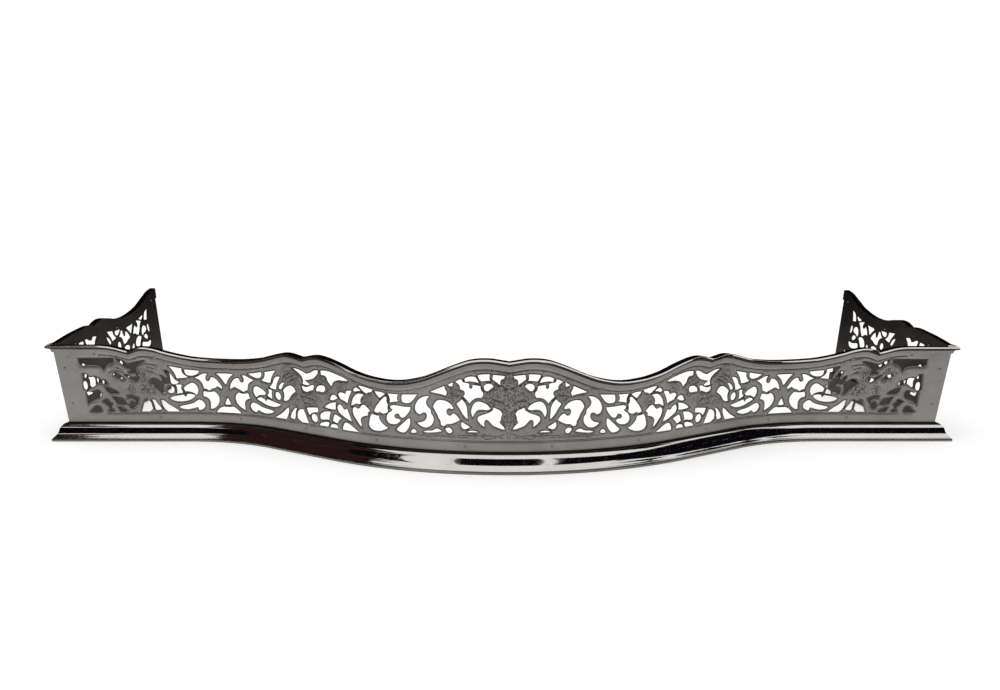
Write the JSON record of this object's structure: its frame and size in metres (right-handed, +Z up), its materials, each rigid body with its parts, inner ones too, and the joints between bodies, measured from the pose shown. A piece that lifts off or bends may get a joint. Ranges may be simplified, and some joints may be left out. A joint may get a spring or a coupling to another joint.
{
  "type": "fire fender",
  "caption": "Serpentine pierced steel fire fender: bowed pierced front, straight pierced ends rising to rear ears, moulded rim and hollow moulded base.",
  "frame": {"origin": "middle of the fender's footprint, on the hearth", "axes": "+X to the right along the front, +Y back to the chimneypiece, +Z up; the bowed front faces -Y"},
  "size_m": [1.3098, 0.5322, 0.1918],
  "materials": {
    "pierced_steel": "satin, engraved",
    "end_steel": "dull, unpolished inside",
    "polished_steel": "polished",
    "back_iron": "wrought, dull",
    "rivet_steel": "filed"
  },
  "bodies": {
    "root": {"front_plate": "pierced_steel", "left_end_plate": "end_steel", "right_end_plate": "end_steel", "front_rim": "polished_steel", "front_moulding": "polished_steel", "left_rim": "polished_steel", "left_moulding": "polished_steel", "right_rim": "polished_steel", "right_moulding": "polished_steel", "front_base_bar": "back_iron", "left_base_bar": "back_iron", "right_base_bar": "back_iron", "left_corner_angle": "back_iron", "right_corner_angle": "back_iron", "front_rim_rivet_1": "rivet_steel", "front_rim_rivet_2": "rivet_steel", "front_rim_rivet_3": "rivet_steel", "front_rim_rivet_4": "rivet_steel", "front_rim_rivet_5": "rivet_steel", "front_rim_rivet_6": "rivet_steel", "front_rim_rivet_7": "rivet_steel", "front_rim_rivet_8": "rivet_steel", "front_rim_rivet_9": "rivet_steel", "front_rim_rivet_10": "rivet_steel", "front_rim_rivet_11": "rivet_steel", "front_rim_rivet_12": "rivet_steel", "front_base_rivet_1": "rivet_steel", "front_base_rivet_2": "rivet_steel", "front_base_rivet_3": "rivet_steel", "front_base_rivet_4": "rivet_steel", "front_base_rivet_5": "rivet_steel", "front_base_rivet_6": "rivet_steel", "front_base_rivet_7": "rivet_steel", "front_base_rivet_8": "rivet_steel", "front_base_rivet_9": "rivet_steel", "front_base_rivet_10": "rivet_steel", "left_rim_rivet_1": "rivet_steel", "left_rim_rivet_2": "rivet_steel", "left_rim_rivet_3": "rivet_steel", "left_base_rivet_1": "rivet_steel", "left_base_rivet_2": "rivet_steel", "left_base_rivet_3": "rivet_steel", "right_rim_rivet_1": "rivet_steel", "right_rim_rivet_2": "rivet_steel", "right_rim_rivet_3": "rivet_steel", "right_base_rivet_1": "rivet_steel", "right_base_rivet_2": "rivet_steel", "right_base_rivet_3": "rivet_steel", "left_angle_front_rivet_1": "rivet_steel", "left_angle_front_rivet_2": "rivet_steel", "left_angle_end_rivet_1": "rivet_steel", "left_angle_end_rivet_2": "rivet_steel", "right_angle_front_rivet_1": "rivet_steel", "right_angle_front_rivet_2": "rivet_steel", "right_angle_end_rivet_1": "rivet_steel", "right_angle_end_rivet_2": "rivet_steel"}
  },
  "joints": []
}
